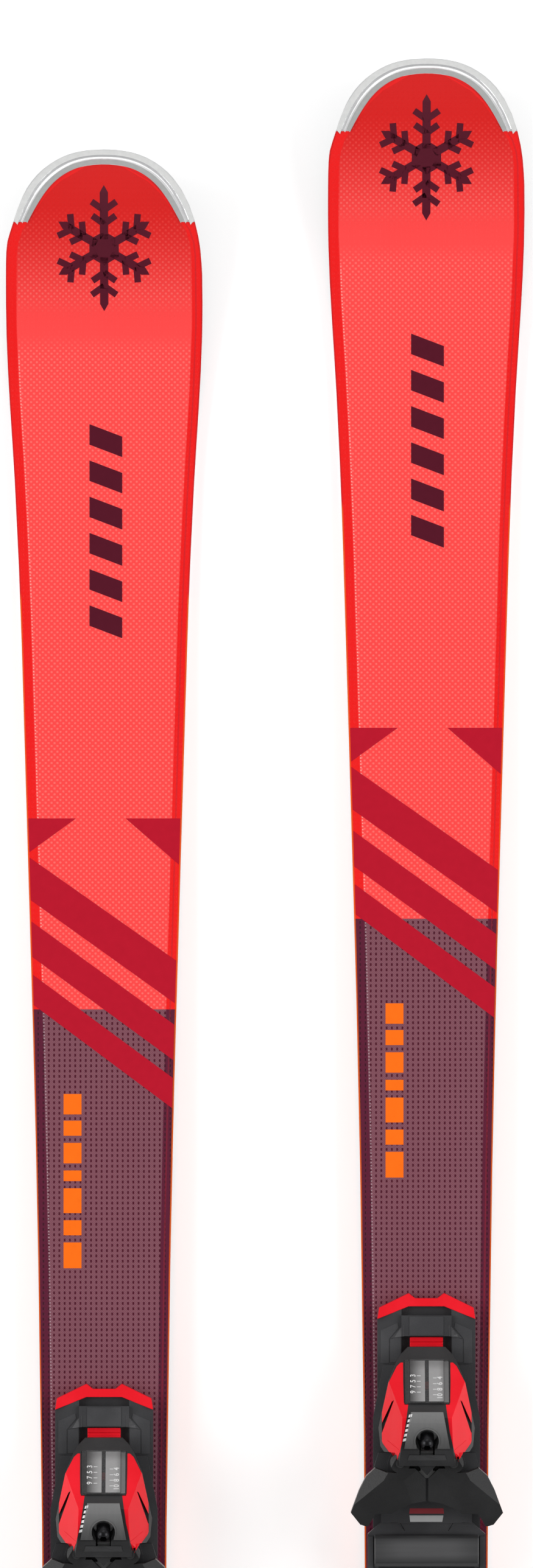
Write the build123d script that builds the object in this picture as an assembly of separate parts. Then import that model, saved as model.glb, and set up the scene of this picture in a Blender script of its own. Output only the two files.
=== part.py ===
from build123d import *
import math
import os

# A pair of alpine carving skis with step-in bindings, lying side by side on their bases.
# Each ski is a laminate (running base, steel edges, wood core, sidewalls, top sheet, tip and
# tail guards) that carries one long track. A toe piece and a heel piece slide on the track.
# Millimetres. +Z is up, +Y points to the tips, z = 0 is the floor under the running bases.
# One ski is modelled about its own mid-length and is then set down twice.

# ---- Ski ----
LENGTH = 1750.0
SHOVEL_WIDTH = 110.5
WAIST_WIDTH = 68.0
TAIL_WIDTH = 98.5
TIP_ROUND = 85.0  # from the widest point of the shovel to the tip
TAIL_ROUND = 48.0
WAIST_Y = -90.0
TIP_RISE = 52.0
TAIL_RISE = 6.0
CAMBER = 4.0
MID_THICKNESS = 15.0
CONTACT_THICKNESS = 8.0
TIP_THICKNESS = 5.0
TIP_CONTACT = 185.0  # from the tip to the front contact line
TAIL_CONTACT = 110.0
FLAT_REAR_Y = -450.0  # the stretch under the binding is flat
FLAT_FRONT_Y = 250.0
TIP_ANGLE = 30.0
BASE_THICKNESS = 1.8
TOP_THICKNESS = 0.8
EDGE_WIDTH = 2.2
SIDEWALL_REVEAL = 0.8  # width of sidewall left showing round the top sheet
SIDEWALL_WIDTH = 5.0
TIP_GUARD_LENGTH = 40.0
TIP_GUARD_DEPTH = 8.2
TIP_GUARD_WALL = 6.8
TAIL_GUARD_DEPTH = 11.0
GUARD_PROUD = 0.6
SKI_SPACING = 181.0  # between the two centrelines
SKI_STAGGER = 51.0  # how far the right ski lies ahead

# ---- Boot that the bindings are set for ----
SOLE_LENGTH = 305.0
TOE_Y = 73.0
HEEL_Y = TOE_Y - SOLE_LENGTH
TOE_SOLE_HEIGHT = 19.0
HEEL_SOLE_HEIGHT = 30.0
SOLE_LIFT = 24.0  # underside of the boot above the ski
SOLE_RADIUS = 36.0

# ---- Track ----
SKI_TOP = CAMBER + MID_THICKNESS
TRACK_HEIGHT = 10.0
TRACK_HALF = 27.5
WEB_HALF = 23.5
FOOT_HEIGHT = 3.5
GROOVE_HEIGHT = 3.0
CHANNEL_HALF = 14.0
CHANNEL_DEPTH = 5.0
LINK_HALF = 12.0
LINK_HEIGHT = 3.0
TRACK_FRONT = TOE_Y + 102.0
TRACK_TOE_REAR = TOE_Y - 63.0
TRACK_HEEL_FRONT = HEEL_Y + 52.0
TRACK_REAR = HEEL_Y - 178.0
PANEL_HALF = 10.1
SCREW_RADIUS = 2.6
SCREW_HEAD_RADIUS = 4.2
SCREW_DEPTH = 9.0

# ---- Fits ----
SLIDE_GAP = 0.3
RUN_GAP = 0.06
SKIN_GAP = 0.2

# ---- Carriages ----
CARRIAGE_HALF = 30.0
PLATE_THICKNESS = 3.8

# ---- Toe piece ----
TILT = 42.0  # of the release spring's axis, from the horizontal
HEAD_Y = TOE_Y + 27.8
HEAD_RISE = 55.0  # centre of the adjusting screw's head above the ski
HEAD_RADIUS = 3.9
SHANK_RADIUS = 2.5
RECESS_RADIUS = 6.0
CHAMBER_RADIUS = 6.8
SPRING_RADIUS = 5.2
SPRING_WIRE = 1.1
COLLAR_RADIUS = 5.6
WING_HEIGHT = 22.0
WING_PIVOT_X = 15.0
WING_PIVOT_Y = TOE_Y + 15.0
PIN_RADIUS = 2.5
LIP_REACH = 6.3
SHOULDER_SLOPE = 24.0  # of the wing's outer facet
LIP_SLOPE = 14.0
HEAD_BORE = 6.5

# ---- Heel piece ----
AXLE_Y = HEEL_Y - 52.0
AXLE_RISE = 37.0
AXLE_RADIUS = 3.0
CHEEK_IN = 22.5
CHEEK_OUT = 28.5
HEEL_TILT = 10.0
PLUNGER_RADIUS = 6.4
LEVER_PIN_RADIUS = 2.5

# ---- Brake ----
BRAKE_WIRE = 2.5
BRAKE_Y = HEEL_Y + 22.0
BRAKE_RISE = 19.0
BRAKE_HALF = 43.0
BRAKE_REACH = 62.0

TRACK_TOP = SKI_TOP + TRACK_HEIGHT
PLATE_BOTTOM = TRACK_TOP + SLIDE_GAP
PLATE_TOP = PLATE_BOTTOM + PLATE_THICKNESS
SOLE_Z = SKI_TOP + SOLE_LIFT
LIP_Z = SOLE_Z + TOE_SOLE_HEIGHT
WING_BOTTOM = SOLE_Z + 2.0
WING_TOP = WING_BOTTOM + WING_HEIGHT


# ---- Small helpers ----
def face_of(points):
    return make_face(Polyline(*points, close=True))


def prism_z(points, z0, z1):
    """Outline in X and Y, between two heights."""
    return extrude(Plane.XY.offset(z0) * face_of(points), z1 - z0, dir=(0, 0, 1))


def prism_x(points, x0, x1):
    """Outline in Y and Z, between two widths."""
    return extrude(Plane.YZ.offset(x0) * face_of(points), x1 - x0, dir=(1, 0, 0))


def prism_y(points, y0, y1):
    """Outline in X and Z, between two lengths."""
    plane = Plane(origin=(0, y0, 0), x_dir=(1, 0, 0), z_dir=(0, -1, 0))
    return extrude(plane * face_of(points), y1 - y0, dir=(0, 1, 0))


def block(x0, x1, y0, y1, z0, z1):
    return prism_z([(x0, y0), (x1, y0), (x1, y1), (x0, y1)], z0, z1)


def rod(start, direction, radius, length):
    plane = Plane(origin=start, z_dir=direction)
    return extrude(plane * Circle(radius), length)


def both_sides(shape):
    return shape + mirror(shape, about=Plane.YZ)


def mirrored_outline(half):
    """Closed outline from the points of its +X half, listed from front to rear."""
    return half + [(-x, y) for x, y in reversed(half)]


# ---- Plan shape and side profile of the ski ----
def tip_point(turn, half, depth, end_y):
    """Point on the squared-off oval of the tip; turn runs from 90 at one side to -90."""
    wide = abs(math.sin(math.radians(turn))) ** (2 / 2.35)
    along = abs(math.cos(math.radians(turn))) ** (2 / 2.8)
    return (math.copysign(wide, turn) * half, end_y - depth + along * depth)


def tail_point(turn, half, depth, end_y):
    wide = abs(math.sin(math.radians(turn))) ** (2 / 3.6)
    along = abs(math.cos(math.radians(turn))) ** (2 / 3.0)
    return (math.copysign(wide, turn) * half, end_y + depth - along * depth)


def ski_outline(inset):
    """Plan shape of the ski, drawn in by inset all round: two sidecut curves, tip and tail."""
    shovel, tail, waist = (w / 2 - inset for w in (SHOVEL_WIDTH, TAIL_WIDTH, WAIST_WIDTH))
    tip_y, tail_y = LENGTH / 2 - inset, -LENGTH / 2 + inset
    shovel_y, heel_y = LENGTH / 2 - TIP_ROUND, -LENGTH / 2 + TAIL_ROUND
    rear = [
        (waist + (tail - waist) * u**2, WAIST_Y + (heel_y - WAIST_Y) * u)
        for u in (1.0, 0.9, 0.7, 0.5, 0.25)
    ]
    front = [
        (waist + (shovel - waist) * u**2, WAIST_Y + (shovel_y - WAIST_Y) * u)
        for u in (0.0, 0.25, 0.5, 0.7, 0.9, 1.0)
    ]
    sidecut = rear + front
    right = Spline(*sidecut, tangents=((0, 1), (0, 1)))
    left = Spline(*[(-x, y) for x, y in sidecut], tangents=((0, 1), (0, 1)))
    turns = (90, 68, 50, 34, 18, 0, -18, -34, -50, -68, -90)
    tip = [tip_point(t, shovel, TIP_ROUND - inset, tip_y) for t in turns]
    tail_end = [tail_point(t, tail, TAIL_ROUND - inset, tail_y) for t in turns]
    tip_curve = Spline(*tip, tangents=((0, 1), (0, -1)))
    tail_curve = Spline(*tail_end, tangents=((0, -1), (0, 1)))
    return make_face([right, tip_curve, left, tail_curve])


def side_line(lift, share):
    """Side-view curve; share 0 follows the running base and 1 the top of the ski."""
    def height(z, thickness):
        return z + lift + share * thickness

    tail = (-LENGTH / 2, height(TAIL_RISE, TIP_THICKNESS))
    rear = (-LENGTH / 2 + TAIL_CONTACT, height(0, CONTACT_THICKNESS))
    flat_rear = (FLAT_REAR_Y, height(CAMBER, MID_THICKNESS))
    flat_front = (FLAT_FRONT_Y, height(CAMBER, MID_THICKNESS))
    front = (LENGTH / 2 - TIP_CONTACT, height(0, CONTACT_THICKNESS))
    tip = (LENGTH / 2, height(TIP_RISE, TIP_THICKNESS))
    level = (1, 0)
    rise = (math.cos(math.radians(TIP_ANGLE)), math.sin(math.radians(TIP_ANGLE)))
    return [
        Spline(tail, rear, tangents=((1, -0.1), level)),
        Spline(rear, flat_rear, tangents=(level, level)),
        Line(flat_rear, flat_front),
        Spline(flat_front, front, tangents=(level, level)),
        Spline(front, tip, tangents=(level, rise)),
    ]


def layer(low_lift, low_share, high_lift, high_share):
    """One layer of the laminate, wider than the ski, between two side-view curves."""
    low = side_line(low_lift, low_share)
    high = side_line(high_lift, high_share)
    ends = [Line(a @ t, b @ t) for a, b, t in ((low[0], high[0], 0), (low[-1], high[-1], 1))]
    face = make_face([*low, *high, *ends])
    half = SHOVEL_WIDTH
    return extrude(Plane.YZ.offset(-half) * face, 2 * half, dir=(1, 0, 0))


def plan_prism(inset):
    return extrude(Plane.XY.offset(-20) * ski_outline(inset), 120, dir=(0, 0, 1))


def guard_zones():
    """Full-height blanks of the tip guard and the tail guard, before the ski's outline trims them."""
    half, tip_y = SHOVEL_WIDTH / 2 + 5, LENGTH / 2
    rear_y = tip_y - TIP_GUARD_LENGTH
    inner_half = half - 5 - TIP_GUARD_WALL - 5
    oval = Ellipse(inner_half, TIP_GUARD_LENGTH - TIP_GUARD_DEPTH)
    hole = extrude(Plane.XY.offset(-20) * Pos(0, rear_y) * oval, 120, dir=(0, 0, 1))
    tip = block(-half, half, rear_y, tip_y + 5, -20, 100) - hole
    tail = block(-half, half, -tip_y - 5, -tip_y + TAIL_GUARD_DEPTH, -20, 100)
    return tip, tail


def ski_parts():
    core_band = layer(BASE_THICKNESS, 0, -TOP_THICKNESS, 1)
    base_band = layer(0, 0, BASE_THICKNESS, 0)
    top_band = layer(-TOP_THICKNESS, 1, 0, 1)
    full, sheet = plan_prism(0), plan_prism(SIDEWALL_REVEAL)
    inside, flat = plan_prism(SIDEWALL_WIDTH), plan_prism(EDGE_WIDTH)
    tip, tail = guard_zones()
    guards = (layer(0, 0, GUARD_PROUD, 1) & full & tip) + (layer(0, 0, 0, 1) & full & tail)
    screws = [rod((x, y, SKI_TOP - SCREW_DEPTH), (0, 0, 1), SCREW_RADIUS, SCREW_DEPTH) for x, y in screw_places()]
    return {
        "running_base": (base_band & flat) - tip - tail,
        "edges_and_guards": ((base_band & (full - flat)) - tip - tail) + guards,
        "core": (core_band & inside) - tip - tail - screws,
        "sidewalls": (core_band & (full - inside)) - tip - tail,
        "top_sheet": (top_band & sheet) - tip - tail - screws,
    }


# ---- Track, its red nose, and the screws that hold it down ----
def track_profile():
    foot, groove = SKI_TOP + FOOT_HEIGHT, SKI_TOP + FOOT_HEIGHT + GROOVE_HEIGHT
    half = [
        (TRACK_HALF, SKI_TOP),
        (TRACK_HALF, foot),
        (WEB_HALF, foot),
        (WEB_HALF, groove),
        (TRACK_HALF, groove),
        (TRACK_HALF, TRACK_TOP),
        (CHANNEL_HALF, TRACK_TOP),
        (CHANNEL_HALF, TRACK_TOP - CHANNEL_DEPTH),
    ]
    return half + [(-x, z) for x, z in reversed(half)]


def screw_places():
    toe = [(s * 19.0, y) for s in (-1, 1) for y in (TRACK_FRONT - 44, TRACK_TOE_REAR + 22)]
    heel = [(s * 19.0, y) for s in (-1, 1) for y in (TRACK_HEEL_FRONT - 12, TRACK_REAR + 22)]
    return toe + heel


def nose_outline():
    front = TRACK_FRONT
    half = [
        (6.3, front + 4.3),
        (9.9, front + 7.1),
        (26.5, front - 1.0),
        (TRACK_HALF, front - 7.2),
        (18.1, front - 3.5),
        (10.0, front - 0.2),
    ]
    return mirrored_outline(half)


def track_parts():
    toe = prism_y(track_profile(), TRACK_TOE_REAR, TRACK_FRONT + 8)
    heel = prism_y(track_profile(), TRACK_REAR, TRACK_HEEL_FRONT)
    link = block(-LINK_HALF, LINK_HALF, TRACK_HEEL_FRONT, TRACK_TOE_REAR, SKI_TOP, SKI_TOP + LINK_HEIGHT)
    front = TRACK_FRONT
    ahead = [(0, front + 9), (40, front + 9), (40, front - 7.2 - 40), (TRACK_HALF, front - 7.2)]
    ahead += [(18.1, front - 3.5), (10.0, front - 0.2), (0, front - 0.2)]
    trim = both_sides(prism_z(ahead, SKI_TOP - 1, TRACK_TOP + 5))
    bridge = block(-PANEL_HALF - 4, PANEL_HALF + 4, front - 16.8, front - 5.2, TRACK_TOP, TRACK_TOP + 2.4)
    tunnel = block(-PANEL_HALF, PANEL_HALF, front - 20, front, TRACK_TOP - 1, TRACK_TOP + 0.5)
    track = toe + heel + link + (bridge - tunnel)
    track -= trim
    screws = None
    for x, y in screw_places():
        head = rod((x, y, TRACK_TOP - 3.2), (0, 0, 1), SCREW_HEAD_RADIUS, 2.4)
        shank = rod((x, y, SKI_TOP - SCREW_DEPTH), (0, 0, 1), SCREW_RADIUS, SCREW_DEPTH + TRACK_HEIGHT - 3.2)
        slot = rod((x, y, TRACK_TOP - 2.0), (0, 0, 1), 1.8, 2)
        screw = head + shank
        track -= screw + rod((x, y, TRACK_TOP - 3.2), (0, 0, 1), SCREW_HEAD_RADIUS, 6)
        screw -= slot
        screws = screw if screws is None else screws + screw
    inner = prism_z(nose_outline(), SKI_TOP, TRACK_TOP + 1.5)
    slope = prism_x([(front - 8, TRACK_TOP + 2), (front + 8, TRACK_TOP - 4), (front + 8, TRACK_TOP + 5),
                     (front - 8, TRACK_TOP + 5)], -40, 40)
    return {"track": track, "track_nose": inner - slope, "track_screws": screws}


# ---- Carriages that slide on the track ----
def carriage(y0, y1, hooks_y1):
    """Flat plate with skirts and hooks that hold the track's two flanges."""
    hook_z0 = SKI_TOP + FOOT_HEIGHT + SLIDE_GAP
    hook_z1 = SKI_TOP + FOOT_HEIGHT + GROOVE_HEIGHT - SLIDE_GAP
    plate = block(-CARRIAGE_HALF, CARRIAGE_HALF, y0, y1, PLATE_BOTTOM, PLATE_TOP)
    skirt = block(TRACK_HALF + SLIDE_GAP, CARRIAGE_HALF, y0, hooks_y1, hook_z0, PLATE_TOP)
    hook = block(WEB_HALF + SLIDE_GAP, CARRIAGE_HALF, y0, hooks_y1, hook_z0, hook_z1)
    return plate + both_sides(skirt + hook)


# ---- Toe piece ----
TOE_AXIS = Plane(
    origin=(0, HEAD_Y, SKI_TOP + HEAD_RISE),
    x_dir=(1, 0, 0),
    z_dir=(0, math.sin(math.radians(TILT)), math.cos(math.radians(TILT))),
)


def on_toe_axis(x0, x1, s0, s1, n0, n1):
    """Block in the tilted frame: s runs forward and down the spring's axis, n points up from it."""
    return TOE_AXIS * block(x0, x1, s0, s1, n0, n1)


def toe_axis_rod(radius, s0, s1):
    along = Plane(origin=(0, s0, 0), x_dir=(1, 0, 0), z_dir=(0, 1, 0))
    return TOE_AXIS * extrude(along * Circle(radius), s1 - s0)


def wing_half_outline():
    """Plan of the right wing's upper part, clockwise from its inner front corner."""
    t = TOE_Y
    return [(6.6, t + 12.2), (12.2, t + 12.2), (17.1, t + 9.6), (22.7, t + 9.9), (29.0, t + 12.3),
            (33.9, t + 7.8), (38.0, t - 0.3), (42.6, t - 12.8), (37.3, t - 19.5), (33.9, t - 20.5)]


def over_slope(start, end, z, slope):
    """Everything above a plane that runs through a level line and falls away to the line's right."""
    (x0, y0), (x1, y1) = start, end
    along = Vector(x1 - x0, y1 - y0, 0).normalized()
    right = Vector(along.Y, -along.X, 0)
    turn = math.radians(slope)
    up = Vector(0, 0, 1) * math.cos(turn) + right * math.sin(turn)
    return Plane(origin=(x0, y0, z), x_dir=along, z_dir=up) * Pos(0, 0, 20) * Box(160, 160, 40)


def wing_facets():
    """Cuts of the wing's top: the outer shoulder, and two facets that fall to the boot."""
    t = TOE_Y
    shoulder = over_slope((37.3, t - 17.7), (22.3, t + 8.8), WING_TOP, SHOULDER_SLOPE)
    ramp = over_slope((0, t + 5.4), (13, t + 5.4), WING_TOP, LIP_SLOPE)
    flank = over_slope((13, t + 5.4), (24, t - 3.2), WING_TOP, LIP_SLOPE)
    return [shoulder, ramp, flank]


def toe_wing():
    """Right wing: hooks round the toe of the sole, with a lip over it and an arm to the yoke."""
    lip = TOE_Y - LIP_REACH
    curve = [(29.7, lip - 13.4), (23.4, lip - 9.7), (15.7, lip - 4.4), (8.7, lip - 1.3), (0.7, lip)]
    outline = wing_half_outline() + curve + [(0.7, TOE_Y + 6.4)]
    wing = prism_z(outline, WING_BOTTOM, WING_TOP)
    wing += rod((WING_PIVOT_X, WING_PIVOT_Y, WING_BOTTOM), (0, 0, 1), 5.5, WING_HEIGHT)
    wing += prism_z([(4.3, TOE_Y + 10.6), (10, TOE_Y + 10.6), (15, TOE_Y + 9.5), (15, TOE_Y + 19),
                     (4.3, TOE_Y + 14)], WING_BOTTOM, WING_BOTTOM + 12.6)
    sole = rod((0, TOE_Y - SOLE_RADIUS + 0.5, WING_BOTTOM - 1), (0, 0, 1), SOLE_RADIUS, LIP_Z + 1.3 - WING_BOTTOM)
    hollow_top = WING_BOTTOM + 12.8
    foot = block(-1, 4.3, TOE_Y - 10, TOE_Y + 25, WING_BOTTOM - 1, hollow_top)
    crosshead = block(-1, 9.8, TOE_Y - 10, TOE_Y + 10.6, WING_BOTTOM - 1, hollow_top)
    wing -= sole + foot + crosshead
    for cut in wing_facets():
        wing -= cut
    return wing - rod((WING_PIVOT_X, WING_PIVOT_Y, 0), (0, 0, 1), PIN_RADIUS + RUN_GAP, 200)


def toe_base():
    t = TOE_Y
    base = carriage(t - 47, t + 69, t + 34)
    nose = [(24.1, t + 70), (31, t + 70), (31, t + 34)]
    base -= both_sides(prism_z(nose, 0, 100))
    under_wings = mirrored_outline([(27, t + 20), (29.5, t + 12), (25.5, t - 2), (25.5, t - 19.5)])
    base += prism_z(under_wings, PLATE_TOP, SOLE_Z - 3)
    pads = mirrored_outline([(20, t + 20), (22, t + 14), (22, t + 4), (20, t + 2)])
    base += prism_z(pads, PLATE_TOP, WING_BOTTOM - SLIDE_GAP)
    afd_bed = mirrored_outline([(25.5, t - 19), (33, t - 25.7), (33, t - 47), (25.5, t - 47)])
    base += prism_z(afd_bed, PLATE_BOTTOM, SOLE_Z - 5)
    base += both_sides(block(30, 33, t - 46, t - 27, SOLE_Z - 6, SOLE_Z - 3.4))
    base -= block(-27, 27, t - 44.5, t - 26.5, SOLE_Z - 8, SOLE_Z)
    for side in (-1, 1):
        base -= rod((side * WING_PIVOT_X, WING_PIVOT_Y, PLATE_TOP), (0, 0, 1), PIN_RADIUS, 50)
    return base - block(-PANEL_HALF, PANEL_HALF, t + 38, t + 80, 0, PLATE_TOP + 1)


def housing_blank():
    """Faceted body of the toe: side profile, plan and cross-section cut each other."""
    t = TOE_Y
    top = SKI_TOP + HEAD_RISE + 1
    low = PLATE_TOP
    visor = WING_TOP + 0.8
    side = [(t + 79.4, low), (t + 79.4, low + 7.5), (t + 40.8, top), (t + 22.6, top - 2), (t + 13.7, top - 5),
            (t + 13.7, visor), (t + 21, visor), (t + 21, low)]
    plan = mirrored_outline([(10.5, t + 79.4), (14.7, t + 75), (17.5, t + 70), (21.5, t + 60), (27.0, t + 34),
                             (26.0, t + 24), (19.0, t + 14), (16.0, t + 13.7)])
    section = [(30, low), (29, low + 6), (13.8, top), (13.8, top + 2)]
    section += [(-x, z) for x, z in reversed(section)]
    return prism_x(side, -40, 40) & prism_z(plan, low, top + 5) & prism_y(section, t, t + 100)


def window_seat():
    """Recess for the clear window on the sloping front."""
    return on_toe_axis(-12.4 - SKIN_GAP, 12.4 + SKIN_GAP, 19 - SKIN_GAP, 51 + SKIN_GAP, 7.6, 12)


def head_recess():
    """Room for the setting screw's head: a round well from above, and its path along the axis."""
    well = rod((0, HEAD_Y, SKI_TOP + HEAD_RISE - 3), (0, 0, 1), HEAD_BORE, 12)
    return well + toe_axis_rod(RECESS_RADIUS, -12, 7.3)


def toe_housing():
    housing = housing_blank() - housing_skin()
    housing -= head_recess() + toe_axis_rod(SHANK_RADIUS + SLIDE_GAP, 0, 60)
    housing -= toe_axis_rod(CHAMBER_RADIUS, 10.5, 47)
    housing -= on_toe_axis(-4.2, 4.2, -5, 7.3, -15, 0)
    housing -= block(-4.2, 4.2, TOE_Y + 14.8, TOE_Y + 25.3, 0, WING_TOP - 0.5)
    housing -= on_toe_axis(-7, 7, 22, 47, 0, 8)
    housing -= window_seat()
    wedge = [(5.4, TOE_Y + 14.2), (-5.4, TOE_Y + 14.2), (0, TOE_Y + 8.4)]
    housing += prism_z(wedge, WING_TOP - 6, WING_TOP + 1.5)
    for side in (-1, 1):
        pin_hole = rod((side * WING_PIVOT_X, WING_PIVOT_Y, WING_TOP - 5), (0, 0, 1), PIN_RADIUS, 7.5)
        housing -= pin_hole
    return housing


def skin_zone():
    """The red side trims lie in this zone: outside the window, forward of the visor."""
    t = TOE_Y
    right = [(13.2, t + 72.3), (16.8, t + 69), (21.5, t + 60), (27.4, t + 33), (24.6, t + 25.5), (17.2, t + 15.8),
             (15.4, t + 21), (12.6, t + 33), (10.4, t + 48.9), (12.9, t + 49), (13.2, t + 60)]
    return prism_z(right, PLATE_TOP + 15, 200)


def housing_skin():
    """Outer 1.6 mm of the housing's flanks, where the trims are set in."""
    inner = Pos(0, 0, -1.6) * housing_blank()
    narrow = prism_y([(28, 0), (28, PLATE_TOP + 6), (12.4, SKI_TOP + HEAD_RISE), (12.4, 120), (-12.4, 120),
                      (-12.4, SKI_TOP + HEAD_RISE), (-28, PLATE_TOP + 6), (-28, 0)], 0, 300)
    return (housing_blank() - (inner & narrow)) & both_sides(skin_zone())


def toe_trims():
    """Red side trims, each with a dark slot towards its outer rear corner."""
    t = TOE_Y
    slot = [(18.4, t + 50.5), (19.6, t + 49.5), (26.4, t + 34), (24.9, t + 31.5)]
    return housing_skin() - window_seat() - both_sides(prism_z(slot, PLATE_TOP, 200))


def toe_cover():
    """Grey plate on top, round the adjusting screw."""
    top = SKI_TOP + HEAD_RISE + 1
    plan = mirrored_outline([(9.0, TOE_Y + 44), (12.8, TOE_Y + 23.5)])
    arch = prism_x([(TOE_Y + 23.5, top - 1.7), (TOE_Y + 23.5, top + 0.6), (TOE_Y + 38, top + 2.2),
                    (TOE_Y + 44, top + 0.6), (TOE_Y + 44, top - 3)], -40, 40)
    plate = arch & prism_z(plan, 0, 200)
    return plate - housing_blank() - head_recess()


def toe_window():
    body = on_toe_axis(-12.4, 12.4, 19, 51, 7.6, 10.6)
    for side in (-1, 1):
        body -= on_toe_axis(*sorted((side * 9.5, side * 13)), 18, 52, 9.9, 12)
    return body


def toe_pins():
    pins = None
    for side in (-1, 1):
        pin = rod((side * WING_PIVOT_X, WING_PIVOT_Y, PLATE_TOP + 0.2), (0, 0, 1), PIN_RADIUS, WING_TOP + 2 - PLATE_TOP)
        pins = pin if pins is None else pins + pin
    return pins


def toe_yoke():
    """Collar round the screw's neck, and a leg down to the crosshead behind the wings' arms."""
    collar = toe_axis_rod(COLLAR_RADIUS, 4, 7)
    leg = on_toe_axis(-3.5, 3.5, 4, 7, -14, -3)
    post = block(-3.5, 3.5, TOE_Y + 21, TOE_Y + 24.4, WING_BOTTOM + 1, WING_BOTTOM + 15)
    foot = block(-3.5, 3.5, TOE_Y + 6.2, TOE_Y + 24.4, WING_BOTTOM + 1, WING_BOTTOM + 5.3)
    crosshead = block(-9, 9, TOE_Y + 6.2, TOE_Y + 10.2, WING_BOTTOM + 1, WING_BOTTOM + 5.3)
    return (collar + leg + post + foot + crosshead) - toe_axis_rod(SHANK_RADIUS + RUN_GAP, 0, 20)


def toe_screw():
    screw = toe_axis_rod(HEAD_RADIUS, -1.6, 4 - RUN_GAP) + toe_axis_rod(SHANK_RADIUS, 0, 45)
    screw += TOE_AXIS * Pos(0, -1.6, 0) * Sphere(HEAD_RADIUS)
    socket = Plane(origin=(0, -6, 0), x_dir=(1, 0, 0), z_dir=(0, 1, 0))
    return screw - TOE_AXIS * extrude(socket * RegularPolygon(2.2, 6), 4)


def toe_nut():
    body = toe_axis_rod(CHAMBER_RADIUS - SLIDE_GAP, 33, 38)
    flag = on_toe_axis(-6, 6, 34.4, 36.6, 3, 7.2)
    return (body + flag) - toe_axis_rod(SHANK_RADIUS + RUN_GAP, 20, 60)


def coil(radius, wire, length, turns):
    """Compression spring that stands on its end at the origin."""
    run = length - 2 * wire
    path = Helix(pitch=run / turns, height=run, radius=radius)
    start = Plane(origin=path @ 0, z_dir=path % 0)
    return Pos(0, 0, wire) * sweep(start * Circle(wire), path=path)


def toe_spring():
    along = Plane(origin=(0, 10.7, 0), x_dir=(1, 0, 0), z_dir=(0, 1, 0))
    return TOE_AXIS * (along * coil(SPRING_RADIUS, SPRING_WIRE, 22, 6))


def afd():
    """Low-friction plate that slides sideways under the toe of the sole."""
    t = TOE_Y
    top = prism_x([(t - 44, SOLE_Z - 3), (t - 44, SOLE_Z - 1), (t - 42, SOLE_Z), (t - 28, SOLE_Z),
                   (t - 26, SOLE_Z - 1), (t - 26, SOLE_Z - 3)], -29.3, 29.3)
    runner = block(-21, 21, t - 43, t - 28, SOLE_Z - 7.6, SOLE_Z - 3)
    return top + runner


def toe_latch():
    """Red tab in the track's channel; it slides forward to free the toe carriage."""
    floor = TRACK_TOP - CHANNEL_DEPTH + SLIDE_GAP
    bar = block(-9.3, 9.3, TOE_Y + 40, TOE_Y + 84.5, floor, TRACK_TOP - 0.4)
    grip = block(-9.5, 9.5, TOE_Y + 80.3, TOE_Y + 82, TRACK_TOP - 1.2, TRACK_TOP)
    return bar - grip


def toe_parts():
    wing = toe_wing()
    return {
        "toe_latch": toe_latch(),
        "toe_base": toe_base(),
        "toe_housing": toe_housing(),
        "toe_trims": toe_trims(),
        "toe_cover": toe_cover(),
        "toe_window": toe_window(),
        "toe_wing_left": mirror(wing, about=Plane.YZ),
        "toe_wing_right": wing,
        "toe_pins": toe_pins(),
        "toe_yoke": toe_yoke(),
        "toe_screw": toe_screw(),
        "toe_nut": toe_nut(),
        "toe_spring": toe_spring(),
        "afd": afd(),
    }


# ---- Heel piece ----
AXLE_Z = SKI_TOP + AXLE_RISE
HEEL_AXIS = Plane(
    origin=(0, HEEL_Y - 31, AXLE_Z + 12),
    x_dir=(-1, 0, 0),
    z_dir=(0, math.sin(math.radians(HEEL_TILT)), math.cos(math.radians(HEEL_TILT))),
)


def heel_axis_rod(radius, s0, s1):
    """Rod on the heel spring's axis; s runs rearward and up."""
    along = Plane(origin=(0, s0, 0), x_dir=(1, 0, 0), z_dir=(0, 1, 0))
    return HEEL_AXIS * extrude(along * Circle(radius), s1 - s0)


def heel_base():
    h = HEEL_Y
    base = carriage(h - 98, h + 34, h + 34)
    cheek = prism_x([(h - 78, PLATE_TOP), (h - 66, AXLE_Z + 6), (h - 58, AXLE_Z + 10), (h - 46, AXLE_Z + 10),
                     (h - 38, AXLE_Z + 6), (h - 26, PLATE_TOP)], CHEEK_IN, CHEEK_OUT)
    fin = block(-5, 5, h - 30.5, h - 22, PLATE_TOP, AXLE_Z + 16)
    lug = prism_x([(BRAKE_Y - 7, PLATE_TOP), (BRAKE_Y - 5, SKI_TOP + BRAKE_RISE + 4),
                   (BRAKE_Y + 5, SKI_TOP + BRAKE_RISE + 4), (BRAKE_Y + 7, PLATE_TOP)], 22.5, 27)
    base += both_sides(cheek + lug) + fin
    base -= rod((-50, AXLE_Y, AXLE_Z), (1, 0, 0), AXLE_RADIUS, 100)
    return base - rod((-50, BRAKE_Y, SKI_TOP + BRAKE_RISE), (1, 0, 0), BRAKE_WIRE + RUN_GAP, 100)


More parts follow.
